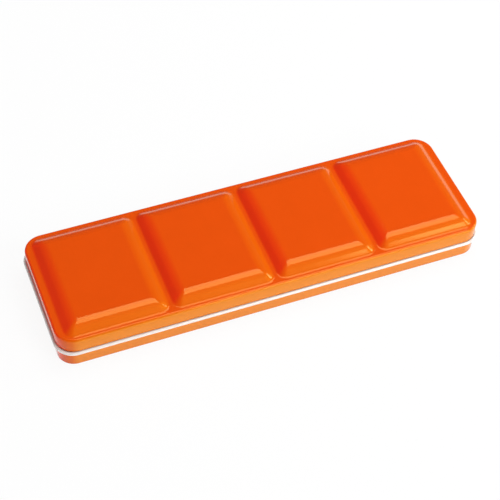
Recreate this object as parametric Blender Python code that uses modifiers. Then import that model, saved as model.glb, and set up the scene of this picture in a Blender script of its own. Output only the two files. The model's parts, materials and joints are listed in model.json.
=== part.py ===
# Watercolour paint box
# A long lacquered tin with a rolled white rim. Its lid is pressed up into four
# mixing wells and turns on two knuckle hinges at the back. A sprung clip tray
# lifts out of the base and holds two rows of half pans beside a brush channel.
# Lengths are in metres. X runs along the box, -Y is the front and Z is up.

import math

import bmesh
import bpy

MM = 0.001

# Sheet metal and the gap between pieces that touch
TIN_SHEET = 0.4 * MM
SEAT_GAP = 0.3 * MM

# Half pans: plastic cups, their long side across the row
ROW_SIDES = (-1, 1)
PANS_PER_ROW = 12
PAN_WIDTH = 16.0 * MM
PAN_LENGTH = 19.0 * MM
PAN_HEIGHT = 9.6 * MM
PAN_WALL = 0.8 * MM
PAN_TAPER = 0.7 * MM
PAN_CORNER_RADIUS = 1.5 * MM
PAN_LIP_WIDTH = 0.5 * MM
PAN_LIP_HEIGHT = 1.2 * MM
PAN_SPACING = 2.0 * MM
PAN_HEADROOM = 0.1 * MM

# Paint cakes: poured blocks with a dished top
CAKE_DROP = 1.3 * MM
CAKE_EDGE_WIDTH = 1.2 * MM
CAKE_DISH_WIDTH = 3.6 * MM
CAKE_DISH_DEPTH = 0.7 * MM

# Clip tray: one folded sheet with a brush channel and sprung tongues
TRAY_SHEET = 0.4 * MM
TRAY_BEND_RADIUS = 0.8 * MM
TRAY_SIDE_GAP = 0.5 * MM
TRAY_END_GAP = 0.5 * MM
CHANNEL_WIDTH = 26.9 * MM
CHANNEL_RISE = 2.0 * MM
RIDGE_GAP = 0.8 * MM
RIDGE_HEIGHT = 7.4 * MM
TONGUE_WIDTH = 9.0 * MM
TONGUE_ROOT_HEIGHT = 1.6 * MM
TONGUE_LIP_GAP = 0.5 * MM
TONGUE_LEAN = 1.3 * MM
TONGUE_TIP = 0.9 * MM
TONGUE_CORNER_RADIUS = 0.8 * MM
END_TONGUE_WIDTH = 8.0 * MM
END_TONGUE_HEIGHT = 5.0 * MM
ROW_END_GAP = 0.85 * MM

# Base tin: a drawn tray whose edge is rolled outwards into a bead
BASE_CORNER_RADIUS = 9.2 * MM
BASE_EDGE_RADIUS = 1.0 * MM
RIM_INNER_RADIUS = 0.55 * MM
RIM_CURL_ANGLE = math.radians(280)

# Lid tin: a drawn cover with a folded hem
LID_GAP = 0.9 * MM
LID_OVERHANG = 0.35 * MM
LID_CORNER_RADIUS = 10.4 * MM
LID_SKIRT_HEIGHT = 8.1 * MM
LID_EDGE_RADIUS = 1.2 * MM
HEM_GAP = 0.3 * MM
HEM_HEIGHT = 2.4 * MM

# Mixing wells pressed up from the lid
WELL_COUNT = 4
WELL_SPACING = 0.8 * MM
WELL_END_MARGIN = 3.7 * MM
WELL_SIDE_MARGIN = 2.2 * MM
WELL_DEPTH = 3.6 * MM
WELL_FLANK_ANGLE = math.radians(35)
WELL_FOOT_RADIUS = 0.8 * MM
WELL_SHOULDER_RADIUS = 10.8 * MM
WELL_CORNER_RADIUS = 5.5 * MM
WELL_FLOOR_CORNER_RADIUS = 1.2 * MM

# Hinges: a leaf on each tin, curled into knuckles round a wire pin
HINGE_SIDES = {"left": -1, "right": 1}
HINGE_END_DISTANCE = 44.0 * MM
HINGE_SHEET = 0.4 * MM
KNUCKLE_COUNT = 5
KNUCKLE_WIDTH = 4.8 * MM
KNUCKLE_CURL_ANGLE = math.radians(280)
PIN_RADIUS = 0.5 * MM
PIN_OVERHANG = 0.4 * MM
PIN_CHAMFER = 0.15 * MM
LID_LEAF_HEIGHT = 4.6 * MM
BASE_LEAF_HEIGHT = 3.4 * MM
LEAF_DROP = 3.0 * MM
LEAF_CORNER_RADIUS = 1.5 * MM
OPEN_LID_GAP = 0.3 * MM

# Facets
CORNER_SEGMENTS = 6
WELL_CORNER_SEGMENTS = 5
PAN_CORNER_SEGMENTS = 2
SHOULDER_SEGMENTS = 5
FOOT_SEGMENTS = 2
EDGE_SEGMENTS = 3
CURL_SEGMENTS = 9
BEND_SEGMENTS = 2
PIN_SEGMENTS = 12
FLAT_ANGLE = math.radians(0.5)
SMOOTH_ANGLE = math.radians(40)


def pan_wall_inset(height):
    """How far a pan's tapered side stands in from its lip, at a height above its foot."""
    return PAN_LIP_WIDTH + PAN_TAPER * (1 - height / (PAN_HEIGHT - PAN_LIP_HEIGHT))


# Heights above the table, from the floor of the tin upwards
tray_floor_z = TIN_SHEET + SEAT_GAP + TRAY_SHEET
pan_floor_z = tray_floor_z + SEAT_GAP
pan_top_z = pan_floor_z + PAN_HEIGHT
tongue_root_z = tray_floor_z + TONGUE_ROOT_HEIGHT
tongue_tip_z = pan_top_z - PAN_LIP_HEIGHT - TONGUE_LIP_GAP
tongue_bend_z = tongue_tip_z - TONGUE_TIP
rim_radius = RIM_INNER_RADIUS + TIN_SHEET
base_top_z = pan_top_z + PAN_HEADROOM
rim_z = base_top_z - rim_radius
lid_bottom_z = base_top_z + LID_GAP
lid_top_z = lid_bottom_z + LID_SKIRT_HEIGHT
well_top_z = lid_top_z + WELL_DEPTH

# Half sizes of the tins, from the rows of pans outwards
pan_pitch = PAN_WIDTH + PAN_SPACING
row_half_length = pan_pitch * PANS_PER_ROW / 2
row_floor_half_length = row_half_length - PAN_SPACING / 2 + SEAT_GAP + TONGUE_LEAN
ridge_width = RIDGE_GAP + 2 * TRAY_SHEET
row_inner_y = CHANNEL_WIDTH / 2 + ridge_width
pan_inner_y = row_inner_y + SEAT_GAP
pan_outer_y = pan_inner_y + PAN_LENGTH
tongue_grip_y = pan_outer_y - pan_wall_inset(tongue_bend_z - pan_floor_z) + SEAT_GAP
row_outer_y = tongue_grip_y + TONGUE_LEAN
tray_half_width = row_outer_y + TRAY_SHEET
cavity_corner_radius = BASE_CORNER_RADIUS - TIN_SHEET
cavity_half_length = row_floor_half_length + cavity_corner_radius + ROW_END_GAP
cavity_half_width = tray_half_width + TRAY_SIDE_GAP
base_half_length = cavity_half_length + TIN_SHEET
base_half_width = cavity_half_width + TIN_SHEET
lid_half_length = base_half_length + LID_OVERHANG
lid_half_width = base_half_width + LID_OVERHANG
tray_half_length = cavity_half_length - TRAY_END_GAP
row_middle_y = (pan_inner_y + pan_outer_y) / 2

# Rolled rim: the sheet's outer face turns on the inner radius of the bead
rim_centre_y = base_half_width + RIM_INNER_RADIUS

# Hinge axis: low enough to lay the open lid level, and behind the rolled rim
hinge_x = lid_half_length - HINGE_END_DISTANCE
knuckle_inner_radius = PIN_RADIUS + SEAT_GAP
knuckle_radius = knuckle_inner_radius + HINGE_SHEET / 2
knuckle_outer_radius = knuckle_inner_radius + HINGE_SHEET
hinge_z = (well_top_z + OPEN_LID_GAP) / 2
hinge_y = rim_centre_y + rim_radius + SEAT_GAP + knuckle_outer_radius
knuckle_pitch = KNUCKLE_WIDTH + SEAT_GAP
leaf_half_length = (KNUCKLE_COUNT * knuckle_pitch - SEAT_GAP) / 2

# Colours: red, green, blue, then roughness and metallic
LACQUER_ORANGE = (0.84, 0.10, 0.005, 0.25, 0.0)
ENAMEL_WHITE = (0.90, 0.90, 0.88, 0.20, 0.0)
BRIGHT_STEEL = (0.62, 0.62, 0.60, 0.30, 1.0)
TRAY_WHITE = (0.86, 0.86, 0.83, 0.35, 0.0)
PAN_WHITE = (0.88, 0.88, 0.86, 0.40, 0.0)
CAKE_ROUGHNESS = 0.55
CAKE_COLOURS = {
    "chinese_white": (0.86, 0.85, 0.80),
    "lemon_yellow": (0.90, 0.76, 0.05),
    "cadmium_yellow": (0.88, 0.52, 0.01),
    "naples_yellow": (0.80, 0.58, 0.26),
    "yellow_ochre": (0.50, 0.27, 0.04),
    "cadmium_orange": (0.82, 0.20, 0.01),
    "vermilion": (0.68, 0.05, 0.01),
    "cadmium_red": (0.50, 0.012, 0.01),
    "carmine": (0.30, 0.005, 0.02),
    "rose_madder": (0.42, 0.012, 0.07),
    "magenta": (0.24, 0.005, 0.09),
    "dioxazine_violet": (0.045, 0.008, 0.10),
    "ultramarine": (0.01, 0.018, 0.22),
    "cobalt_blue": (0.008, 0.05, 0.30),
    "cerulean_blue": (0.01, 0.16, 0.36),
    "prussian_blue": (0.004, 0.018, 0.06),
    "turquoise": (0.005, 0.17, 0.16),
    "viridian": (0.004, 0.075, 0.04),
    "sap_green": (0.035, 0.085, 0.012),
    "olive_green": (0.10, 0.10, 0.015),
    "raw_sienna": (0.36, 0.15, 0.03),
    "burnt_sienna": (0.20, 0.04, 0.010),
    "burnt_umber": (0.055, 0.022, 0.010),
    "lamp_black": (0.010, 0.010, 0.011),
}


def clear_scene():
    for old in list(bpy.data.objects):
        bpy.data.objects.remove(old, do_unlink=True)


def make_collection(name):
    collection = bpy.data.collections.new(name)
    bpy.context.scene.collection.children.link(collection)
    return collection


def make_material(name, finish):
    red, green, blue, roughness, metallic = finish
    material = bpy.data.materials.new(name)
    material.use_nodes = True
    shader = material.node_tree.nodes["Principled BSDF"]
    shader.inputs["Base Color"].default_value = (red, green, blue, 1)
    shader.inputs["Roughness"].default_value = roughness
    shader.inputs["Metallic"].default_value = metallic
    return material


def mesh_from(bm, name, material):
    mesh = bpy.data.meshes.new(name)
    bm.to_mesh(mesh)
    bm.free()
    mesh.materials.append(material)
    mesh.shade_smooth()
    mesh.set_sharp_from_angle(angle=SMOOTH_ANGLE)
    return mesh


def add_object(name, mesh, collection, location, parent=None):
    piece = bpy.data.objects.new(name, mesh)
    piece.location = location
    piece.parent = parent
    collection.objects.link(piece)
    return piece


def thicken(piece, thickness, offset):
    solid = piece.modifiers.new("Sheet thickness", "SOLIDIFY")
    solid.thickness = thickness
    solid.offset = offset
    solid.use_even_offset = True
    solid.use_quality_normals = True
    return solid


def enamel_inside(piece, solid):
    """White enamel on the sheet's inner face, which the rolled rim turns outwards."""
    piece.data.materials.append(make_material(piece.name + "_enamel", ENAMEL_WHITE))
    solid.material_offset = 1
    solid.material_offset_rim = 1


def arc(centre, radius, start, sweep, segments):
    """Points of an arc in a section plane, both ends included."""
    points = []
    for step in range(segments + 1):
        angle = start + sweep * step / segments
        across = centre[0] + radius * math.cos(angle)
        up = centre[1] + radius * math.sin(angle)
        points.append((across, up))
    return points


def rounded_outline(half_length, half_width, radius, segments):
    """Anticlockwise outline of a rectangle with round corners."""
    points = []
    for corner, (side_x, side_y) in enumerate(((1, 1), (-1, 1), (-1, -1), (1, -1))):
        centre = (side_x * (half_length - radius), side_y * (half_width - radius))
        points += arc(centre, radius, corner * math.pi / 2, math.pi / 2, segments)
    return points


def add_ring(bm, outline, z, shift=0):
    return [bm.verts.new((x + shift, y, z)) for x, y in outline]


def skin(bm, lower, upper):
    """Wall of four-sided faces between two rings of equal length."""
    count = len(lower)
    for here in range(count):
        there = (here + 1) % count
        bm.faces.new((lower[here], lower[there], upper[there], upper[here]))


def loft(bm, rings):
    for lower, upper in zip(rings, rings[1:]):
        skin(bm, lower, upper)


def ring_edges(bm, ring):
    pairs = zip(ring, ring[1:] + ring[:1])
    return [bm.edges.get(pair) for pair in pairs]


def sheet_strip(path, stations, keep):
    """Folded sheet: a section path in Y and Z carried along X, cut away where keep is false."""
    bm = bmesh.new()
    rows = [[bm.verts.new((x, y, z)) for y, z in path] for x in stations]
    for bay, (near, far) in enumerate(zip(rows, rows[1:])):
        for fold in range(len(path) - 1):
            if keep(fold, bay):
                bm.faces.new((near[fold], far[fold], far[fold + 1], near[fold + 1]))
    loose = [vert for vert in bm.verts if not vert.link_faces]
    bmesh.ops.delete(bm, geom=loose, context="VERTS")
    return bm


def merge_flat_faces(bm):
    bmesh.ops.dissolve_limit(
        bm, angle_limit=FLAT_ANGLE, verts=bm.verts[:], edges=bm.edges[:]
    )


def round_corners(bm, corners, radius):
    bmesh.ops.bevel(
        bm, geom=corners, offset=radius, segments=BEND_SEGMENTS, profile=0.5, affect="VERTICES"
    )


# Base tin


def base_section():
    """Outer face of the tin from the floor's edge to the end of its curl, as outset and height."""
    edge_centre = (-BASE_EDGE_RADIUS, BASE_EDGE_RADIUS)
    edge = arc(edge_centre, BASE_EDGE_RADIUS, -math.pi / 2, math.pi / 2, EDGE_SEGMENTS)
    rim_centre = (RIM_INNER_RADIUS, rim_z)
    curl = arc(rim_centre, RIM_INNER_RADIUS, math.pi, -RIM_CURL_ANGLE, CURL_SEGMENTS)
    return edge + curl


def make_base_tin(collection):
    bm = bmesh.new()
    rings = []
    for outset, z in base_section():
        outline = rounded_outline(
            base_half_length + outset,
            base_half_width + outset,
            BASE_CORNER_RADIUS + outset,
            CORNER_SEGMENTS,
        )
        rings.append(add_ring(bm, outline, z))
    loft(bm, rings)
    bm.faces.new(list(reversed(rings[0])))
    mesh = mesh_from(bm, "base_tin", make_material("base_tin", LACQUER_ORANGE))
    tin = add_object("base_tin", mesh, collection, (0, 0, 0))
    enamel_inside(tin, thicken(tin, TIN_SHEET, -1))


# Lid tin


def lid_section():
    """Outer face of the skirt from the top of the folded hem up to the flat margin."""
    hem_radius = HEM_GAP / 2 + TIN_SHEET
    hem_top = [(-2 * hem_radius, lid_bottom_z + HEM_HEIGHT)]
    fold_centre = (-hem_radius, lid_bottom_z + hem_radius)
    fold = arc(fold_centre, hem_radius, -math.pi, math.pi, 2 * EDGE_SEGMENTS)
    edge_centre = (-LID_EDGE_RADIUS, lid_top_z - LID_EDGE_RADIUS)
    edge = arc(edge_centre, LID_EDGE_RADIUS, 0, math.pi / 2, EDGE_SEGMENTS)
    return hem_top + fold + edge


def well_section():
    """Rise of a well's wall from its foot to its flat floor, as inset and height."""
    sine = math.sin(WELL_FLANK_ANGLE)
    fall = 1 - math.cos(WELL_FLANK_ANGLE)
    flank_rise = WELL_DEPTH - (WELL_FOOT_RADIUS + WELL_SHOULDER_RADIUS) * fall
    flank_run = flank_rise / math.tan(WELL_FLANK_ANGLE)
    total_run = (WELL_FOOT_RADIUS + WELL_SHOULDER_RADIUS) * sine + flank_run
    foot = arc(
        (0, WELL_FOOT_RADIUS), WELL_FOOT_RADIUS, -math.pi / 2, WELL_FLANK_ANGLE, FOOT_SEGMENTS
    )
    shoulder = arc(
        (total_run, WELL_DEPTH - WELL_SHOULDER_RADIUS),
        WELL_SHOULDER_RADIUS,
        math.pi / 2 + WELL_FLANK_ANGLE,
        -WELL_FLANK_ANGLE,
        SHOULDER_SEGMENTS,
    )
    return foot + shoulder


def well_centres():
    pitch = well_half_length() * 2 + WELL_SPACING
    return [(index - (WELL_COUNT - 1) / 2) * pitch for index in range(WELL_COUNT)]


def well_half_length():
    room = 2 * (lid_half_length - WELL_END_MARGIN) - (WELL_COUNT - 1) * WELL_SPACING
    return room / WELL_COUNT / 2


def add_well(bm, centre_x):
    """One domed well, returned as the ring where its foot meets the margin."""
    section = well_section()
    total_run = section[-1][0]
    half_width = lid_half_width - WELL_SIDE_MARGIN
    rings = []
    for inset, rise in section:
        sharpening = (1 - inset / total_run) ** 2
        radius = WELL_FLOOR_CORNER_RADIUS
        radius += (WELL_CORNER_RADIUS - WELL_FLOOR_CORNER_RADIUS) * sharpening
        outline = rounded_outline(
            well_half_length() - inset, half_width - inset, radius, WELL_CORNER_SEGMENTS
        )
        rings.append(add_ring(bm, outline, lid_top_z + rise, centre_x))
    loft(bm, rings)
    bm.faces.new(rings[-1])
    return rings[0]


def make_lid_tin(collection, hinge_axis):
    bm = bmesh.new()
    rings = []
    for outset, z in lid_section():
        outline = rounded_outline(
            lid_half_length + outset,
            lid_half_width + outset,
            LID_CORNER_RADIUS + outset,
            CORNER_SEGMENTS,
        )
        rings.append(add_ring(bm, outline, z))
    loft(bm, rings)
    border = ring_edges(bm, rings[-1])
    for centre_x in well_centres():
        border += ring_edges(bm, add_well(bm, centre_x))
    bmesh.ops.triangle_fill(bm, edges=border, use_beauty=True, normal=(0, 0, 1))
    mesh = mesh_from(bm, "lid_tin", make_material("lid_tin", LACQUER_ORANGE))
    lid = add_object("lid_tin", mesh, collection, -hinge_axis.location, hinge_axis)
    enamel_inside(lid, thicken(lid, TIN_SHEET, -1))


# Hinges


def curl_from(bend, turn):
    """Curl round the pin, from where a straight run from the bend meets the knuckle circle."""
    reach_y = bend[0] - hinge_y
    reach_z = bend[1] - hinge_z
    distance = math.hypot(reach_y, reach_z)
    bearing = math.atan2(reach_z, reach_y)
    start = bearing + turn * math.acos(knuckle_radius / distance)
    sweep = turn * KNUCKLE_CURL_ANGLE
    return arc((hinge_y, hinge_z), knuckle_radius, start, sweep, CURL_SEGMENTS)


def lid_leaf_path():
    leaf_y = lid_half_width + SEAT_GAP + HINGE_SHEET / 2
    bend = (leaf_y, hinge_z + knuckle_outer_radius)
    top = (leaf_y, bend[1] + LID_LEAF_HEIGHT)
    return [top, bend] + curl_from(bend, -1)


def base_leaf_path():
    leaf_y = base_half_width + SEAT_GAP + HINGE_SHEET / 2
    bend = (leaf_y, rim_z - rim_radius - LEAF_DROP)
    foot = (leaf_y, bend[1] - BASE_LEAF_HEIGHT)
    curl = curl_from(bend, 1)
    run = math.dist(bend, curl[0])
    share = 1 - 2 * knuckle_outer_radius / run
    split = tuple(low + (high - low) * share for low, high in zip(bend, curl[0]))
    return [foot, bend, split] + curl


def knuckle_stations():
    stations = []
    for index in range(KNUCKLE_COUNT):
        start = index * knuckle_pitch - leaf_half_length
        stations += [start, start + KNUCKLE_WIDTH]
    return stations


def make_leaf(name, path, first_free_fold, first_knuckle, collection, location, parent):
    """A leaf whose sheet is whole up to a fold, and past it is cut into its own knuckles."""

    def keep(fold, bay):
        own = bay % 2 == 0 and (bay // 2) % 2 == first_knuckle
        return fold < first_free_fold or own

    bm = sheet_strip(path, knuckle_stations(), keep)
    merge_flat_faces(bm)
    end_z = path[0][1]
    corner_x = leaf_half_length - HINGE_SHEET
    at_end = [vert for vert in bm.verts if abs(vert.co.z - end_z) < HINGE_SHEET]
    corners = [vert for vert in at_end if abs(vert.co.x) > corner_x]
    round_corners(bm, corners, LEAF_CORNER_RADIUS)
    mesh = mesh_from(bm, name, make_material(name, BRIGHT_STEEL))
    thicken(add_object(name, mesh, collection, location, parent), HINGE_SHEET, 0)


def make_pin(name, collection, centre_x):
    bm = bmesh.new()
    length = 2 * (leaf_half_length + PIN_OVERHANG)
    bmesh.ops.create_cone(
        bm,
        cap_ends=True,
        segments=PIN_SEGMENTS,
        radius1=PIN_RADIUS,
        radius2=PIN_RADIUS,
        depth=length,
    )
    rims = [edge for edge in bm.edges if edge.calc_length() < length / 2]
    bmesh.ops.bevel(bm, geom=rims, offset=PIN_CHAMFER, segments=1, affect="EDGES")
    mesh = mesh_from(bm, name, make_material(name, BRIGHT_STEEL))
    pin = add_object(name, mesh, collection, (centre_x, hinge_y, hinge_z))
    pin.rotation_euler = (0, math.pi / 2, 0)


def make_hinges(collection, hinge_axis):
    for side, sign in HINGE_SIDES.items():
        centre_x = sign * hinge_x
        local = (centre_x, -hinge_y, -hinge_z)
        make_leaf(
            f"lid_hinge_leaf_{side}", lid_leaf_path(), 1, 1, collection, local, hinge_axis
        )
        make_leaf(
            f"base_hinge_leaf_{side}", base_leaf_path(), 2, 0, collection, (centre_x, 0, 0), None
        )
        make_pin(f"hinge_pin_{side}", collection, centre_x)


# Clip tray


def tray_half_path():
    """Upper face of the tray from the middle of the channel out to a tongue's tip."""
    bend = TRAY_BEND_RADIUS
    channel_z = tray_floor_z + CHANNEL_RISE
    ridge_radius = ridge_width / 2
    wall_y = CHANNEL_WIDTH / 2
    ridge_centre = (wall_y + ridge_radius, tray_floor_z + RIDGE_HEIGHT - ridge_radius)
    quarter = math.pi / 2
    path = arc((wall_y - bend, channel_z + bend), bend, -quarter, quarter, BEND_SEGMENTS)
    path += arc(ridge_centre, ridge_radius, math.pi, -math.pi, 2 * BEND_SEGMENTS)
    path += arc((row_inner_y + bend, tray_floor_z + bend), bend, math.pi, quarter, BEND_SEGMENTS)
    path.append((row_middle_y - END_TONGUE_WIDTH / 2, tray_floor_z))
    path.append((row_middle_y + END_TONGUE_WIDTH / 2, tray_floor_z))
    path += arc((row_outer_y - bend, tray_floor_z + bend), bend, -quarter, quarter, BEND_SEGMENTS)
    path.append((row_outer_y, tongue_root_z))
    path.append((tongue_grip_y, tongue_bend_z))
    path.append((tongue_grip_y + TONGUE_TIP, tongue_tip_z))
    return path


def tray_stations():
    """Places along X where the tray, its row floors and each of its tongues end."""
    stations = [-tray_half_length, -row_floor_half_length]
    for index in range(PANS_PER_ROW):
        centre_x = pan_centre_x(index)
        stations += [centre_x - TONGUE_WIDTH / 2, centre_x + TONGUE_WIDTH / 2]
    return stations + [row_floor_half_length, tray_half_length]


def pan_centre_x(index):
    return (index + 0.5) * pan_pitch - row_half_length


def is_row_end(edge):
    """The stretch of a row floor's end from which its end tongue is bent up."""
    reach = END_TONGUE_WIDTH / 2 + TRAY_SHEET
    for vert in edge.verts:
        at_end = abs(abs(vert.co.x) - row_floor_half_length) < TRAY_SHEET
        in_row = abs(abs(vert.co.y) - row_middle_y) < reach
        if not (at_end and in_row):
            return False
    return edge.is_boundary


def raise_end_tongues(bm):
    """Bend up a tongue at each end of both rows, leaning back over the floor to the last pan."""
    roots = [edge for edge in bm.edges if is_row_end(edge)]
    grown = bmesh.ops.extrude_edge_only(bm, edges=roots)["geom"]
    tips = [item for item in grown if isinstance(item, bmesh.types.BMVert)]
    for vert in tips:
        vert.co.x -= math.copysign(TONGUE_LEAN, vert.co.x)
        vert.co.z += END_TONGUE_HEIGHT
    return tips


def make_clip_tray(collection):
    half = tray_half_path()
    path = [(-y, z) for y, z in reversed(half)] + half
    stations = tray_stations()
    end_bays = (0, len(stations) - 2)

    def keep(fold, bay):
        middle_y = abs(path[fold][0] + path[fold + 1][0]) / 2
        middle_z = (path[fold][1] + path[fold + 1][1]) / 2
        in_row = middle_y > row_inner_y + TRAY_BEND_RADIUS
        if bay in end_bays:
            return not in_row
        is_slit = in_row and middle_z > tongue_root_z
        return bay % 2 == 0 or not is_slit

    bm = sheet_strip(path, stations, keep)
    tips = raise_end_tongues(bm)
    merge_flat_faces(bm)
    tips += [vert for vert in bm.verts if vert.co.z > tongue_tip_z - TRAY_SHEET]
    round_corners(bm, tips, TONGUE_CORNER_RADIUS)
    mesh = mesh_from(bm, "pan_clip_tray", make_material("pan_clip_tray", TRAY_WHITE))
    thicken(add_object("pan_clip_tray", mesh, collection, (0, 0, 0)), TRAY_SHEET, -1)


# Half pans and paint cakes


def pan_outline(inset):
    return rounded_outline(
        PAN_WIDTH / 2 - inset,
        PAN_LENGTH / 2 - inset,
        max(PAN_CORNER_RADIUS - inset, PAN_CORNER_RADIUS / 3),
        PAN_CORNER_SEGMENTS,
    )


def make_pan_mesh():
    bm = bmesh.new()
    lip_z = PAN_HEIGHT - PAN_LIP_HEIGHT
    section = [
        (pan_wall_inset(0), 0),
        (pan_wall_inset(lip_z), lip_z),
        (0, lip_z),
        (0, PAN_HEIGHT),
        (PAN_LIP_WIDTH + PAN_WALL, PAN_HEIGHT),
        (pan_wall_inset(PAN_WALL) + PAN_WALL, PAN_WALL),
    ]
    rings = [add_ring(bm, pan_outline(inset), z) for inset, z in section]
    loft(bm, rings)
    bm.faces.new(list(reversed(rings[0])))
    bm.faces.new(rings[-1])
    return mesh_from(bm, "half_pan", make_material("half_pan", PAN_WHITE))


def make_cake_mesh(name, colour):
    """Block that fills a pan to just below its lip, seated on the pan's floor."""
    bm = bmesh.new()
    foot_z = PAN_WALL + SEAT_GAP
    top_z = PAN_HEIGHT - CAKE_DROP
    foot_inset = pan_wall_inset(foot_z) + PAN_WALL + SEAT_GAP
    top_inset = pan_wall_inset(top_z) + PAN_WALL + SEAT_GAP
    section = [
        (foot_inset, foot_z),
        (top_inset, top_z),
        (top_inset + CAKE_EDGE_WIDTH, top_z - CAKE_DISH_DEPTH / 2),
        (top_inset + CAKE_DISH_WIDTH, top_z - CAKE_DISH_DEPTH),
    ]
    rings = [add_ring(bm, pan_outline(inset), z) for inset, z in section]
    loft(bm, rings)
    bm.faces.new(list(reversed(rings[0])))
    bm.faces.new(rings[-1])
    return mesh_from(bm, name, make_material(name, colour + (CAKE_ROUGHNESS, 0)))


def make_pans(collection):
    pan_mesh = make_pan_mesh()
    colours = list(CAKE_COLOURS.values())
    number = 0
    for side in ROW_SIDES:
        for index in range(PANS_PER_ROW):
            number += 1
            place = (pan_centre_x(index), side * row_middle_y, pan_floor_z)
            add_object(f"half_pan_{number:02d}", pan_mesh, collection, place)
            cake_name = f"paint_cake_{number:02d}"
            colour = colours[(number - 1) % len(colours)]
            add_object(cake_name, make_cake_mesh(cake_name, colour), collection, place)


def main():
    clear_scene()
    collection = make_collection("watercolour_paint_box")
    hinge_axis = add_object("lid_hinge_axis", None, collection, (0, hinge_y, hinge_z))
    make_base_tin(collection)
    make_lid_tin(collection, hinge_axis)
    make_hinges(collection, hinge_axis)
    make_clip_tray(collection)
    make_pans(collection)


main()
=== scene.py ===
# %% [markdown]
# # A watercolour paint box
#
# A long lacquered tin for twenty-four half pans, shut, on a white table. The lid
# is pressed into four domed mixing wells, and the base ends in a rolled white
# bead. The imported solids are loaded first: they give every size and place, and
# each piece made here stands for one of them and moves with its body.

# %% Load the frame
import json
import math

import bmesh
import bpy
from mathutils import Matrix, Vector


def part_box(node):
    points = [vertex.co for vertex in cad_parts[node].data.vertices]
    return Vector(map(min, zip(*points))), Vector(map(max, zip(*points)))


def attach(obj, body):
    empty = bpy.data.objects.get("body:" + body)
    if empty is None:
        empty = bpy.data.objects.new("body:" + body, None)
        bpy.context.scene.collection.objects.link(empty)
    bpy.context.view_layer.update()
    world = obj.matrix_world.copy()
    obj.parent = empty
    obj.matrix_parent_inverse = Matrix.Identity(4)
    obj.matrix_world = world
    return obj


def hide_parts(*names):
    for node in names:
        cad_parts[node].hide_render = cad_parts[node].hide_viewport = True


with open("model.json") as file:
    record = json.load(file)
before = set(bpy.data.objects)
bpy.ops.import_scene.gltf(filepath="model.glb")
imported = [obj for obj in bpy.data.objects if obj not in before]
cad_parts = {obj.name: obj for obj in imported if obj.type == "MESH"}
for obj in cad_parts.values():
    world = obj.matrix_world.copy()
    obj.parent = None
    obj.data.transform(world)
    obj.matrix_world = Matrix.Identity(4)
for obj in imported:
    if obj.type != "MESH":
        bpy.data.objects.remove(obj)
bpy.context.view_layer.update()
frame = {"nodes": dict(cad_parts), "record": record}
MM = 0.001


def in_mm(values):
    """Lengths in millimetres, for the printed notes."""
    return [round(value / MM, 2) for value in values]


lid_low, lid_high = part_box("lid_tin")
base_low, base_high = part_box("base_tin")
print("lid", in_mm(lid_low), in_mm(lid_high))
print("base", in_mm(base_low), in_mm(base_high))

# %% [markdown]
# ## The camera
#
# A long lens looks down at about 50 degrees over the front left corner. Its
# place is written as a turn of the view and a distance, so the three directions
# of the picture are worked out first: right, up, and back towards the camera.

# %% Camera at the photograph's angle
AZIMUTH = math.radians(-23.761)
ELEVATION = math.radians(49.987)
ROLL = math.radians(3.396)
DISTANCE = 763.223 * MM
SLIDE_RIGHT = 1.702 * MM
SLIDE_UP = -3.876 * MM
FOCAL_PIXELS = 1395.856
PICTURE_PIXELS = 500
SENSOR_WIDTH = 36
NEAREST_SEEN = 0.01

back = Vector((
    math.sin(AZIMUTH) * math.cos(ELEVATION),
    -math.cos(AZIMUTH) * math.cos(ELEVATION),
    math.sin(ELEVATION),
))
level_right = (-back).cross(Vector((0, 0, 1))).normalized()
level_up = level_right.cross(-back)
right = math.cos(ROLL) * level_right + math.sin(ROLL) * level_up
up = -math.sin(ROLL) * level_right + math.cos(ROLL) * level_up

camera_data = bpy.data.cameras.new("camera")
camera_data.sensor_width = SENSOR_WIDTH
camera_data.lens = FOCAL_PIXELS / PICTURE_PIXELS * SENSOR_WIDTH
camera_data.clip_start = NEAREST_SEEN
camera = bpy.data.objects.new("camera", camera_data)
bpy.context.scene.collection.objects.link(camera)
turn = Matrix((right, up, back)).transposed().to_4x4()
place = back * DISTANCE - right * SLIDE_RIGHT - up * SLIDE_UP
camera.matrix_world = Matrix.Translation(place) @ turn
bpy.context.scene.camera = camera
print("camera", [round(v / MM, 1) for v in place], "lens", round(camera_data.lens, 1), "mm")

# %% [markdown]
# ## Nodes by hand
#
# A material or a world is a small graph: boxes that each do one sum, and wires
# between them. Two short helpers keep the recipes below readable: one adds a box
# and fills in its settings, the other joins an output to an input.

# %% Helpers for node graphs
def node(tree, kind, **settings):
    """Adds a node. Names that start with an underscore are its settings, others its inputs."""
    box = tree.nodes.new(kind)
    for name, value in settings.items():
        if name.startswith("_"):
            setattr(box, name[1:], value)
        else:
            box.inputs[name.replace("_", " ")].default_value = value
    return box


def wire(tree, source, output, target, entry):
    tree.links.new(source.outputs[output], target.inputs[entry])


def maths(tree, operation, first, second=0.0, third=None, clamp=False):
    """One sum. Each term is a number or a pair of node and output."""
    box = tree.nodes.new("ShaderNodeMath")
    box.operation = operation
    box.use_clamp = clamp
    for index, term in enumerate((first, second, third)):
        if term is None:
            continue
        if isinstance(term, tuple):
            tree.links.new(term[0].outputs[term[1]], box.inputs[index])
        else:
            box.inputs[index].default_value = term
    return box, 0


# %% [markdown]
# ## The room
#
# A glossy tin shows the room it stands in, so the room comes before the paint.
# The walls of the room are grey near the table and darken upwards, and a soft glow
# hangs high over the front right, where the slopes of the wells mirror it. What
# the room sends as plain light, from all sides, is kept even: it is the fill that
# keeps every slope of the tin a clear orange.

# %% World: grey walls, dim ceiling, one glow, even fill
HORIZON_LEVEL = 0.25
HORIZON_FADE = (0.02, 0.30)
CEILING_LEVEL = 0.10
GLOW_LEVEL = 0.5
GLOW_DIRECTION = Vector((0.22, -0.30, 0.93)).normalized()
GLOW_EDGE = (0.88, 0.98)
FILL_LEVEL = 0.27

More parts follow.
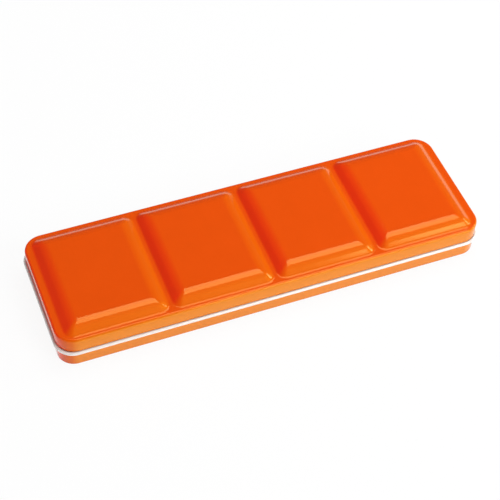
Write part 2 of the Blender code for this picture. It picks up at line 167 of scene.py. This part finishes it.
world = bpy.data.worlds.new("room")
bpy.context.scene.world = world
world.use_nodes = True
tree = world.node_tree
tree.nodes.clear()
way = node(tree, "ShaderNodeTexCoord")
split = node(tree, "ShaderNodeSeparateXYZ")
wire(tree, way, "Generated", split, 0)
horizon = node(
    tree, "ShaderNodeMapRange", _interpolation_type="SMOOTHSTEP",
    From_Min=HORIZON_FADE[0], From_Max=HORIZON_FADE[1], To_Min=HORIZON_LEVEL, To_Max=0.0,
)
wire(tree, split, "Z", horizon, "Value")
aim = node(tree, "ShaderNodeVectorMath", _operation="DOT_PRODUCT")
wire(tree, way, "Generated", aim, 0)
aim.inputs[1].default_value = GLOW_DIRECTION
glow = node(
    tree, "ShaderNodeMapRange", _interpolation_type="SMOOTHSTEP",
    From_Min=GLOW_EDGE[0], From_Max=GLOW_EDGE[1], To_Min=0.0, To_Max=GLOW_LEVEL,
)
wire(tree, aim, "Value", glow, "Value")
above = maths(tree, "ADD", (glow, "Result"), CEILING_LEVEL)
seen = maths(tree, "MAXIMUM", (horizon, "Result"), above)
ray = node(tree, "ShaderNodeLightPath")
level = node(tree, "ShaderNodeMix", _data_type="FLOAT")
level.inputs["B"].default_value = FILL_LEVEL
tree.links.new(ray.outputs["Is Diffuse Ray"], level.inputs["Factor"])
tree.links.new(seen[0].outputs[0], level.inputs["A"])
background = node(tree, "ShaderNodeBackground", Color=(1, 1, 1, 1))
tree.links.new(level.outputs["Result"], background.inputs["Strength"])
output = node(tree, "ShaderNodeOutputWorld")
wire(tree, background, "Background", output, "Surface")
print("world nodes", len(tree.nodes))

# %% [markdown]
# ## The lamps
#
# Four flat soft boxes light the tin, and each leaves its own mark in the gloss.
# The one overhead mirrors as the bright band along the front shoulder of every
# well. The tall one in front lights the walls, and its top edge just enters the
# front slope of the last well. A small one on the right makes the bright dot on
# each front corner, and a low one on the left lifts the white bead there.
#
# A lamp is written by the direction that it stands in, its distance, and the
# radiance of its panel; its watts follow from these.

# %% Soft boxes
def add_soft_box(name, azimuth, elevation, distance, size, radiance, roll=0.0):
    """Azimuth counts from behind the box, clockwise seen from above; roll turns the panel."""
    lamp = bpy.data.lights.new(name, "AREA")
    lamp.shape = "RECTANGLE"
    lamp.size, lamp.size_y = size
    lamp.energy = radiance * math.pi * size[0] * size[1]
    holder = bpy.data.objects.new(name, lamp)
    bpy.context.scene.collection.objects.link(holder)
    turn, rise = math.radians(azimuth), math.radians(elevation)
    out = Vector((
        math.sin(turn) * math.cos(rise),
        math.cos(turn) * math.cos(rise),
        math.sin(rise),
    ))
    side = out.cross(Vector((0, 0, 1))).normalized()
    side = Matrix.Rotation(math.radians(roll), 3, out) @ side
    frame_of_panel = Matrix((side, out.cross(side), out)).transposed().to_4x4()
    holder.matrix_world = Matrix.Translation(out * distance) @ frame_of_panel
    print(name, round(lamp.energy, 2), "W")


add_soft_box("soft_box_front", 150, 36.8, 1.5, (0.80, 0.85), 6.2, roll=-14)
add_soft_box("soft_box_right", 92, 33, 1.2, (0.40, 0.20), 8.5)
add_soft_box("soft_box_left", 250, 10, 1.3, (0.60, 0.22), 4.5)

# The overhead box hangs level, so its place is given directly.
OVERHEAD_RADIANCE = 4.3
OVERHEAD_SIZE = (0.75, 0.77)
OVERHEAD_PLACE = (0.37, 0.336, 1.2)
overhead = bpy.data.lights.new("soft_box_overhead", "AREA")
overhead.shape = "RECTANGLE"
overhead.size, overhead.size_y = OVERHEAD_SIZE
overhead.energy = OVERHEAD_RADIANCE * math.pi * overhead.size * overhead.size_y
holder = bpy.data.objects.new("soft_box_overhead", overhead)
holder.location = OVERHEAD_PLACE
bpy.context.scene.collection.objects.link(holder)
print("soft_box_overhead", round(overhead.energy, 2), "W")

# %% [markdown]
# ## The table
#
# The table is plain white. Seen by the camera, or in a reflection, it mostly
# glows at exactly white; the small rest of it is lit for real, so the soft shadow
# of the box stays.

# %% White table with a soft shadow
TABLE_SIZE = 12
TABLE_GAP = 0.1 * MM
TABLE_WHITE = 0.92
GLOW_SHARE = 0.92


def make_table_paint():
    paint = bpy.data.materials.new("table_white")
    paint.use_nodes = True
    tree = paint.node_tree
    tree.nodes.clear()
    ray = node(tree, "ShaderNodeLightPath")
    seen = maths(tree, "MAXIMUM", (ray, "Is Camera Ray"), (ray, "Is Glossy Ray"))
    seen = maths(tree, "MAXIMUM", seen, (ray, "Is Transmission Ray"))
    share = maths(tree, "MULTIPLY", seen, GLOW_SHARE)
    lit = node(tree, "ShaderNodeBsdfDiffuse", Color=(TABLE_WHITE, TABLE_WHITE, TABLE_WHITE, 1))
    white = node(tree, "ShaderNodeEmission", Color=(1, 1, 1, 1), Strength=1.0)
    mix = node(tree, "ShaderNodeMixShader")
    tree.links.new(share[0].outputs[0], mix.inputs["Fac"])
    wire(tree, lit, "BSDF", mix, 1)
    wire(tree, white, "Emission", mix, 2)
    output = node(tree, "ShaderNodeOutputMaterial")
    wire(tree, mix, "Shader", output, "Surface")
    return paint


bpy.ops.object.select_all(action="DESELECT")
bpy.ops.mesh.primitive_plane_add(size=TABLE_SIZE, location=(0, 0, -TABLE_GAP))
table = bpy.context.object
table.name = "table"
table.data.materials.append(make_table_paint())
bpy.context.scene.view_settings.view_transform = "Standard"
print("table", tuple(round(v, 2) for v in table.dimensions))

# %% [markdown]
# ## Orange lacquer
#
# The outside is a glossy orange lacquer. Three things shape its look:
#
# * its colour follows the direction that the surface faces, through a colour ramp,
#   and so holds painted light and shade: painted shade makes it redder to the left,
#   painted light makes it paler to the right and the front, and the middle colour is
#   on the back and the flat tops. The steps were set by trial, for a likeness, and are
#   no measured property of a lacquer;
# * the gloss is tinted warm;
# * a baked coat has faint waves a millimetre or two long, called orange peel.

# %% Lacquer, with painted light and shade
# Painted light and shade: ramp stops go from deep red for faces turned left to paler orange for
# faces turned right or to the front.
PAINTED_SHADE_COLOURS = [
    (0.00, (0.88, 0.060, 0.006)),
    (0.22, (0.92, 0.040, 0.006)),
    (0.36, (0.86, 0.054, 0.004)),
    (0.50, (0.80, 0.080, 0.003)),
    (0.64, (0.78, 0.102, 0.002)),
    (0.78, (0.76, 0.120, 0.002)),
    (1.00, (0.84, 0.235, 0.012)),
]
COAT_SPECULAR = 0.45
COAT_GLOSS_TINT = (1.0, 0.90, 0.25, 1)
COAT_DRIFT = (0.97, 1.03)


def start_paint(name):
    """A new material with its graph and its shader."""
    paint = bpy.data.materials.new(name)
    paint.use_nodes = True
    return paint, paint.node_tree, paint.node_tree.nodes["Principled BSDF"]


def add_peel(tree, shader, size, depth):
    """Waves in a coat, by a bump node on Object coordinates."""
    way = node(tree, "ShaderNodeTexCoord")
    waves = node(tree, "ShaderNodeTexNoise", Scale=1 / size, Detail=2.0, Roughness=0.45)
    wire(tree, way, "Object", waves, "Vector")
    add_bump(tree, shader, waves, depth)
    return way


def add_bump(tree, shader, source, depth, strength=1.0):
    bump = node(tree, "ShaderNodeBump", Strength=strength, Distance=depth)
    wire(tree, source, "Fac", bump, "Height")
    wire(tree, bump, "Normal", shader, "Normal")


def add_haze(tree, shader, source, low, high):
    """Roughness that drifts between two levels."""
    haze = node(tree, "ShaderNodeMapRange", To_Min=low, To_Max=high)
    wire(tree, source, "Fac", haze, "Value")
    wire(tree, haze, "Result", shader, "Roughness")


def add_tone(tree, shader, source, dark, pale):
    """Colour that drifts between two tones."""
    tone = node(tree, "ShaderNodeMix", _data_type="RGBA")
    tone.inputs["A"].default_value = (*dark, 1)
    tone.inputs["B"].default_value = (*pale, 1)
    tree.links.new(source.outputs["Fac"], tone.inputs["Factor"])
    wire(tree, tone, "Result", shader, "Base Color")


def make_lacquer():
    paint, tree, shader = start_paint("orange_lacquer")
    shader.inputs["Specular IOR Level"].default_value = COAT_SPECULAR
    shader.inputs["Specular Tint"].default_value = COAT_GLOSS_TINT
    way = add_peel(tree, shader, 1.8 * MM, 0.0012 * MM)
    # Painted light and shade: how far a face turns right or to the front picks its colour, not any
    # lamp.
    facing = node(tree, "ShaderNodeSeparateXYZ")
    wire(tree, way, "Normal", facing, 0)
    to_front = maths(tree, "MINIMUM", (facing, "Y"), 0.0)
    painted_light_lean = maths(tree, "SUBTRACT", (facing, "X"), to_front)
    share = maths(tree, "MULTIPLY_ADD", painted_light_lean, 0.5, 0.5, clamp=True)
    # This ramp is the painted light and shade of the lacquer.
    coat = node(tree, "ShaderNodeValToRGB")
    stops = coat.color_ramp.elements
    while len(stops) < len(PAINTED_SHADE_COLOURS):
        stops.new(0.5)
    for stop, (position, colour) in zip(stops, PAINTED_SHADE_COLOURS):
        stop.position = position
        stop.color = (*colour, 1)
    tree.links.new(share[0].outputs[0], coat.inputs["Fac"])
    cloud = node(tree, "ShaderNodeTexNoise", Scale=60.0, Detail=3.0)
    wire(tree, way, "Object", cloud, "Vector")
    drift = node(tree, "ShaderNodeMapRange", To_Min=COAT_DRIFT[0], To_Max=COAT_DRIFT[1])
    wire(tree, cloud, "Fac", drift, "Value")
    # The painted light and shade of the ramp, times a faint random drift of tone.
    depth = node(tree, "ShaderNodeVectorMath", _operation="SCALE")
    wire(tree, coat, "Color", depth, 0)
    wire(tree, drift, "Result", depth, "Scale")
    wire(tree, depth, "Vector", shader, "Base Color")
    add_haze(tree, shader, cloud, 0.05, 0.11)
    return paint


lacquer = make_lacquer()
print("lacquer nodes", len(lacquer.node_tree.nodes))

# %% [markdown]
# ## White enamel, steel, plastic and paint
#
# The inside and the rolled bead are baked white enamel. The hinges are nickel
# plated steel with fine lines from drawing. The pans are moulded in a slightly
# milky plastic, and the cakes are pigment bound with gum: dull, finely grained.

# %% Enamel, nickel, pan plastic and paint cakes
def make_enamel(name, colour, roughness):
    paint, tree, shader = start_paint(name)
    shader.inputs["Specular IOR Level"].default_value = 0.6
    way = add_peel(tree, shader, 1.6 * MM, 0.001 * MM)
    cloud = node(tree, "ShaderNodeTexNoise", Scale=45.0, Detail=4.0)
    wire(tree, way, "Object", cloud, "Vector")
    add_tone(tree, shader, cloud, [c * 0.97 for c in colour], colour)
    add_haze(tree, shader, cloud, roughness * 0.7, roughness * 1.3)
    return paint


def make_nickel():
    metal, tree, shader = start_paint("nickel_plate")
    shader.inputs["Metallic"].default_value = 1.0
    way = node(tree, "ShaderNodeTexCoord")
    stretch = node(tree, "ShaderNodeMapping")
    stretch.inputs["Scale"].default_value = (300, 9000, 9000)
    wire(tree, way, "Object", stretch, "Vector")
    lines = node(tree, "ShaderNodeTexNoise", Scale=1.0, Detail=3.0)
    wire(tree, stretch, "Vector", lines, "Vector")
    add_tone(tree, shader, lines, (0.52, 0.51, 0.49), (0.70, 0.69, 0.67))
    add_haze(tree, shader, lines, 0.18, 0.36)
    add_bump(tree, shader, lines, 0.002 * MM)
    return metal


def make_cake_paint(name, colour):
    paint, tree, shader = start_paint(name)
    way = node(tree, "ShaderNodeTexCoord")
    grain = node(tree, "ShaderNodeTexNoise", Scale=900.0, Detail=6.0, Roughness=0.6)
    wire(tree, way, "Object", grain, "Vector")
    patches = node(tree, "ShaderNodeTexNoise", Scale=160.0, Detail=3.0)
    wire(tree, way, "Object", patches, "Vector")
    pale = [min(1, c * 1.12 + 0.004) for c in colour]
    add_tone(tree, shader, patches, [c * 0.72 for c in colour], pale)
    add_haze(tree, shader, grain, 0.38, 0.66)
    add_bump(tree, shader, grain, 0.08 * MM, strength=0.7)
    return paint


enamel = make_enamel("white_enamel", (0.93, 0.91, 0.88), 0.14)
tray_enamel = make_enamel("tray_enamel", (0.84, 0.84, 0.82), 0.30)
pan_plastic = make_enamel("pan_plastic", (0.86, 0.86, 0.83), 0.38)
nickel = make_nickel()
print("finishes", enamel.name, tray_enamel.name, pan_plastic.name, nickel.name)

# %% [markdown]
# ## Outlines and bridges
#
# A drawn tin is a stack of rounded rectangles: every level of its wall is the
# same outline, a little wider or narrower. So a wall is modelled as a press tool
# would form it. A flat plane is added at each level, its corners are rounded by a
# bevel of its four points, its face is deleted to leave the outline, and each
# outline is bridged to the one before.

# %% Outlines, bridges and caps
CORNER_CUTS = 14
FLAT_RING = 0.25 * MM
SMOOTH_ANGLE = math.radians(40)


def start_piece(name):
    bpy.ops.object.select_all(action="DESELECT")
    bpy.ops.object.add(type="MESH")
    piece = bpy.context.object
    piece.name = name
    bpy.ops.object.mode_set(mode="EDIT")
    bpy.ops.mesh.select_mode(type="VERT")
    return piece


def level_layer(bm):
    return bm.verts.layers.int.get("level") or bm.verts.layers.int.new("level")


def mark_selected(level):
    """Writes the level's number on the points that are selected."""
    mesh = bpy.context.object.data
    bm = bmesh.from_edit_mesh(mesh)
    layer = level_layer(bm)
    for point in bm.verts:
        if point.select:
            point[layer] = level
    bmesh.update_edit_mesh(mesh)


def select_levels(*levels):
    mesh = bpy.context.object.data
    bpy.ops.mesh.select_all(action="DESELECT")
    bm = bmesh.from_edit_mesh(mesh)
    layer = level_layer(bm)
    for point in bm.verts:
        point.select = point[layer] in levels
    bm.select_flush(True)
    bmesh.update_edit_mesh(mesh)


def add_outline(level, half_length, half_width, corner, height, middle_x, cuts):
    """Adds one rounded rectangle and marks its points with their level."""
    middle = (middle_x, 0, height)
    bpy.ops.mesh.select_all(action="DESELECT")
    bpy.ops.mesh.primitive_plane_add(size=2, location=middle)
    bpy.ops.transform.resize(value=(half_length, half_width, 1), center_override=middle)
    bpy.ops.mesh.bevel(offset=corner, segments=cuts, affect="VERTICES")
    mark_selected(level)
    bpy.ops.mesh.delete(type="ONLY_FACE")


def stack_outlines(
    section, half_length, half_width, corner, first_level=1, middle_x=0.0, cuts=CORNER_CUTS
):
    """Bridges a stack of outlines. A row of the section is outset, height, corner change."""
    for step, (outset, height, corner_change) in enumerate(section):
        level = first_level + step
        add_outline(
            level, half_length + outset, half_width + outset,
            corner + corner_change, height, middle_x, cuts,
        )
        if step:
            select_levels(level - 1, level)
            bpy.ops.mesh.bridge_edge_loops()
    return first_level, first_level + len(section) - 1


def cap_level(level):
    """Closes an outline with one face, and a narrow flat ring keeps its shading flat."""
    select_levels(level)
    bpy.ops.mesh.edge_face_add()
    bpy.ops.mesh.inset(thickness=FLAT_RING)


def arc(centre, radius, start, sweep, cuts):
    """Points along an arc of a section; start and sweep are in degrees."""
    points = []
    for step in range(cuts + 1):
        angle = math.radians(start + sweep * step / cuts)
        points.append((
            centre[0] + radius * math.cos(angle),
            centre[1] + radius * math.sin(angle),
        ))
    return points


def give_sheet(piece, thickness, outside, inside):
    """Turns faces outwards and gives the sheet its thickness, with other paint inside."""
    bpy.ops.mesh.select_all(action="SELECT")
    bpy.ops.mesh.normals_make_consistent(inside=False)
    bm = bmesh.from_edit_mesh(piece.data)
    broadest = max(bm.faces, key=lambda face: face.calc_area())
    middle_z = sum(point.co.z for point in bm.verts) / len(bm.verts)
    if broadest.normal.z * (broadest.calc_center_median().z - middle_z) < 0:
        bpy.ops.mesh.flip_normals()
    bpy.ops.object.mode_set(mode="OBJECT")
    piece.data.materials.append(outside)
    piece.data.materials.append(inside)
    bpy.ops.object.modifier_add(type="SOLIDIFY")
    sheet = piece.modifiers[-1]
    sheet.thickness = thickness
    sheet.offset = -1
    sheet.use_even_offset = True
    sheet.use_quality_normals = True
    sheet.material_offset = 1
    sheet.material_offset_rim = 1
    bpy.ops.object.modifier_apply(modifier=sheet.name)
    bpy.ops.object.shade_smooth_by_angle(angle=SMOOTH_ANGLE)


print("corner of", CORNER_CUTS, "cuts:", 4 * (CORNER_CUTS + 1), "points an outline")

# %% [markdown]
# ## Base tin
#
# The base is one drawn tray. Its sheet is 0.4 mm thick, orange outside and white
# inside, and its edge is rolled outwards, so the bead shows the white inner side.

# %% Base tin
SHEET = 0.4 * MM
BASE_CORNER = 9.2 * MM
FLOOR_EDGE = 1.0 * MM
ROLL_RADIUS = 0.55 * MM
ROLL_TURN = 280
FLOOR_EDGE_CUTS = 6
ROLL_CUTS = 18
base_half_length = base_high.x - 2 * ROLL_RADIUS - SHEET
base_half_width = -base_low.y - 2 * ROLL_RADIUS - SHEET
roll_z = base_high.z - ROLL_RADIUS - SHEET

base_section = arc((-FLOOR_EDGE, FLOOR_EDGE), FLOOR_EDGE, -90, 90, FLOOR_EDGE_CUTS)
base_section += arc((ROLL_RADIUS, roll_z), ROLL_RADIUS, 180, -ROLL_TURN, ROLL_CUTS)
base_section = [(outset, z, outset) for outset, z in base_section]

base_tin = start_piece("base_tin_drawn")
first, last = stack_outlines(base_section, base_half_length, base_half_width, BASE_CORNER)
cap_level(first)
give_sheet(base_tin, SHEET, lacquer, enamel)
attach(base_tin, "base")
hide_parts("base_tin")
print("base tin", in_mm(base_tin.dimensions), len(base_tin.data.polygons), "faces")

# %% [markdown]
# ## Lid tin
#
# The lid starts with its skirt: from the top of the folded hem inside, round the
# fold, up the wall and over the top edge. The hem drops 0.8 mm below the solid's,
# so that only a thin line stays open between it and the bead. Then come the four
# wells, each a stack of outlines too: a rounded foot, a straight flank at 35
# degrees, a wide soft shoulder and a flat top, which is the floor of the well
# once the lid is open.
# The margin between them is filled last, and a narrow inset all round it keeps it
# flat when the faces are shaded smooth.

# %% Lid skirt and hem
LID_CORNER = 10.4 * MM
LID_EDGE = 1.2 * MM
HEM_GAP = 0.1 * MM
HEM_HEIGHT = 2.4 * MM
HEM_DROP = 0.8 * MM
HEM_CUTS = 12
LID_EDGE_CUTS = 8
WELL_DEPTH = 3.6 * MM
lid_half_length = lid_high.x
lid_half_width = lid_high.y
lid_bottom = lid_low.z - HEM_DROP
lid_top = lid_high.z - WELL_DEPTH
hem_radius = HEM_GAP / 2 + SHEET

skirt = [(-2 * hem_radius, lid_bottom + HEM_HEIGHT)]
skirt += arc((-hem_radius, lid_bottom + hem_radius), hem_radius, 180, 180, HEM_CUTS)
skirt += arc((-LID_EDGE, lid_top - LID_EDGE), LID_EDGE, 0, 90, LID_EDGE_CUTS)
skirt = [(outset, z, outset) for outset, z in skirt]

lid_tin = start_piece("lid_tin_pressed")
first, margin_level = stack_outlines(skirt, lid_half_length, lid_half_width, LID_CORNER)
print("skirt levels", first, "to", margin_level)

# %% Mixing wells
WELL_COUNT = 4
WELL_SPACING = 0.8 * MM
END_MARGIN = 3.7 * MM
SIDE_MARGIN = 2.2 * MM
FLANK = 35
FOOT_RADIUS = 2.8 * MM
SHOULDER_RADIUS = 10.4 * MM
FOOT_CORNER = 5.5 * MM
FLOOR_CORNER = 1.2 * MM
WELL_CUTS = 10
FOOT_CUTS = 8
SHOULDER_CUTS = 14
LEVELS_PER_WELL = 100

room_for_wells = 2 * (lid_half_length - END_MARGIN) - (WELL_COUNT - 1) * WELL_SPACING
well_half_length = room_for_wells / WELL_COUNT / 2
well_half_width = lid_half_width - SIDE_MARGIN
well_pitch = 2 * well_half_length + WELL_SPACING
slope = math.radians(FLANK)
flank_rise = WELL_DEPTH - (FOOT_RADIUS + SHOULDER_RADIUS) * (1 - math.cos(slope))
flank_run = flank_rise / math.tan(slope)
well_run = (FOOT_RADIUS + SHOULDER_RADIUS) * math.sin(slope) + flank_run

shoulder_centre = (well_run, WELL_DEPTH - SHOULDER_RADIUS)
well = arc((0, FOOT_RADIUS), FOOT_RADIUS, -90, FLANK, FOOT_CUTS)
well += arc(shoulder_centre, SHOULDER_RADIUS, 90 + FLANK, -FLANK, SHOULDER_CUTS)


def corner_change(inset):
    """The corners sharpen from the foot to the floor."""
    share = min(max(inset / well_run, 0), 1)
    return (FLOOR_CORNER - FOOT_CORNER) * (1 - (1 - share) ** 2)


well_section = [(-inset, lid_top + rise, corner_change(inset)) for inset, rise in well]
foot_levels = []
for index in range(WELL_COUNT):
    middle_x = (index - (WELL_COUNT - 1) / 2) * well_pitch
    first, last = stack_outlines(
        well_section, well_half_length, well_half_width, FOOT_CORNER,
        first_level=LEVELS_PER_WELL * (index + 1), middle_x=middle_x, cuts=WELL_CUTS,
    )
    cap_level(last)
    foot_levels.append(first)
select_levels(margin_level, *foot_levels)
bpy.ops.mesh.fill(use_beauty=True)
bpy.ops.mesh.inset(thickness=FLAT_RING)
give_sheet(lid_tin, SHEET, lacquer, enamel)
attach(lid_tin, "lid")
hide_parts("lid_tin")
print("lid tin", in_mm(lid_tin.dimensions), len(lid_tin.data.polygons), "faces")

# %% [markdown]
# ## Half pans
#
# A half pan is a small moulded cup, 16 by 19 mm, whose sides taper so that it
# drops between the tongues of the tray, and whose lip hangs over them. It is one
# closed stack of outlines: up the outside, over the lip and down the inside. The
# lip is crowned a little, because two outlines at one height don't bridge well.
# One pattern is modelled about the middle of its foot, and every pan in the tin is
# a copy of it with a mesh of its own, moved to the place that the solids give.

# %% One half pan
PAN_CORNER = 1.5 * MM
PAN_CUTS = 5
PAN_WALL = 0.8 * MM
PAN_TAPER = 0.7 * MM
LIP_WIDTH = 0.5 * MM
LIP_HEIGHT = 1.2 * MM
LIP_ROUND = 0.25 * MM
LIP_CROWN_TURN = 54
LIP_UNDER_TURN = 70
LIP_CUTS = 4
FOOT_CHAMFER = 0.3 * MM
LEAST_CORNER_CHANGE = -1.0 * MM


def shrinking_corners(section, least):
    """An outline drawn inwards has a tighter corner, down to a least one."""
    return [(outset, z, max(outset, least)) for outset, z in section]


def close_piece(piece, first, last):
    """Caps both ends of a stack, turns the faces outwards and smooths the soft edges."""
    cap_level(first)
    cap_level(last)
    bpy.ops.mesh.select_all(action="SELECT")
    bpy.ops.mesh.normals_make_consistent(inside=False)
    bpy.ops.object.mode_set(mode="OBJECT")
    bpy.ops.object.shade_smooth_by_angle(angle=SMOOTH_ANGLE)


pan_low, pan_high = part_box("half_pan_01")
pan_size = pan_high - pan_low
lip_z = pan_size.z - LIP_HEIGHT
lip_top = pan_size.z - LIP_ROUND
inner_edge = -LIP_WIDTH - PAN_WALL
pan_section = [
    (-LIP_WIDTH - PAN_TAPER - FOOT_CHAMFER, 0),
    (-LIP_WIDTH - PAN_TAPER, FOOT_CHAMFER),
    (-LIP_WIDTH, lip_z),
]
pan_section += arc(
    (-LIP_ROUND, lip_z + 1.2 * LIP_ROUND), LIP_ROUND, -LIP_UNDER_TURN, LIP_UNDER_TURN, LIP_CUTS - 1
)
pan_section += arc((-LIP_ROUND, lip_top), LIP_ROUND, 0, LIP_CROWN_TURN, LIP_CUTS)
pan_section += [(inner_edge / 2, pan_size.z)]
pan_section += arc(
    (inner_edge + LIP_ROUND, lip_top), LIP_ROUND, 180 - LIP_CROWN_TURN, LIP_CROWN_TURN, LIP_CUTS
)
pan_section += [
    (inner_edge - 0.9 * PAN_TAPER, 2 * PAN_WALL),
    (inner_edge - PAN_TAPER - FOOT_CHAMFER, PAN_WALL),
]
pan = start_piece("half_pan_pattern")
first, last = stack_outlines(
    shrinking_corners(pan_section, LEAST_CORNER_CHANGE),
    pan_size.x / 2, pan_size.y / 2, PAN_CORNER, cuts=PAN_CUTS,
)
close_piece(pan, first, last)
print("half pan", in_mm(pan.dimensions), len(pan.data.polygons), "faces")

# %% [markdown]
# ## Paint cakes
#
# Paint is poured into the pan warm and shrinks as it dries: it stays a little
# higher round the edge, where it clings to the plastic, and is dished in the
# middle, where the brush goes. The outlines step inwards and down for that.

# %% One paint cake
CAKE_CORNER = 0.8 * MM
CAKE_TAPER = 0.55 * MM
# How far in from the edge, and how far under the top, in millimetres.
CAKE_DISH = [
    (0.00, 0.20), (0.10, 0.05), (0.30, 0.00), (0.65, 0.09),
    (1.2, 0.28), (2.0, 0.46), (3.2, 0.60), (4.8, 0.68),
]
cake_low, cake_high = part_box("paint_cake_01")
cake_size = cake_high - cake_low
cake_section = [(-CAKE_TAPER, 0, 0)]
cake_section += [(-inset * MM, cake_size.z - drop * MM, 0) for inset, drop in CAKE_DISH]
cake = start_piece("paint_cake_pattern")
first, last = stack_outlines(
    cake_section, cake_size.x / 2, cake_size.y / 2, CAKE_CORNER, cuts=PAN_CUTS
)
close_piece(cake, first, last)
print("paint cake", in_mm(cake.dimensions), len(cake.data.polygons), "faces")

# %% Twenty-four of each, in their places
cake_colours = {
    row["slot"]: row["base_color"]
    for row in frame["record"]["materials"] if row["slot"].startswith("paint_")
}


def set_in_place(pattern, name, node_name, finish):
    """A copy of a pattern with its own mesh, standing where the solid stands."""
    low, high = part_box(node_name)
    piece = pattern.copy()
    piece.data = pattern.data.copy()
    piece.name = name
    piece.data.transform(Matrix.Translation(((low.x + high.x) / 2, (low.y + high.y) / 2, low.z)))
    piece.data.materials.append(finish)
    bpy.context.scene.collection.objects.link(piece)
    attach(piece, "base")
    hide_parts(node_name)


for number, (slot, colour) in enumerate(cake_colours.items(), start=1):
    tag = f"{number:02d}"
    set_in_place(pan, f"half_pan_moulded_{tag}", f"half_pan_{tag}", pan_plastic)
    paint = make_cake_paint(slot, colour)
    set_in_place(cake, f"paint_cake_poured_{tag}", f"paint_cake_{tag}", paint)
for pattern in (pan, cake):
    bpy.data.objects.remove(pattern)
print("pans and cakes", 2 * len(cake_colours))

# %% [markdown]
# ## Tray and hinges
#
# The tray is one folded sheet and the hinges are folded strips round wire pins.
# As solids they are already the right shape, bends and tongues included, so they
# keep it and take their finishes.

# %% Finishes for the solids that stay
kept = {name: nickel for name in frame["nodes"] if "hinge" in name}
kept["pan_clip_tray"] = tray_enamel
for name, finish in kept.items():
    for place in frame["nodes"][name].material_slots:
        place.material = finish
print("solids kept", len(kept))
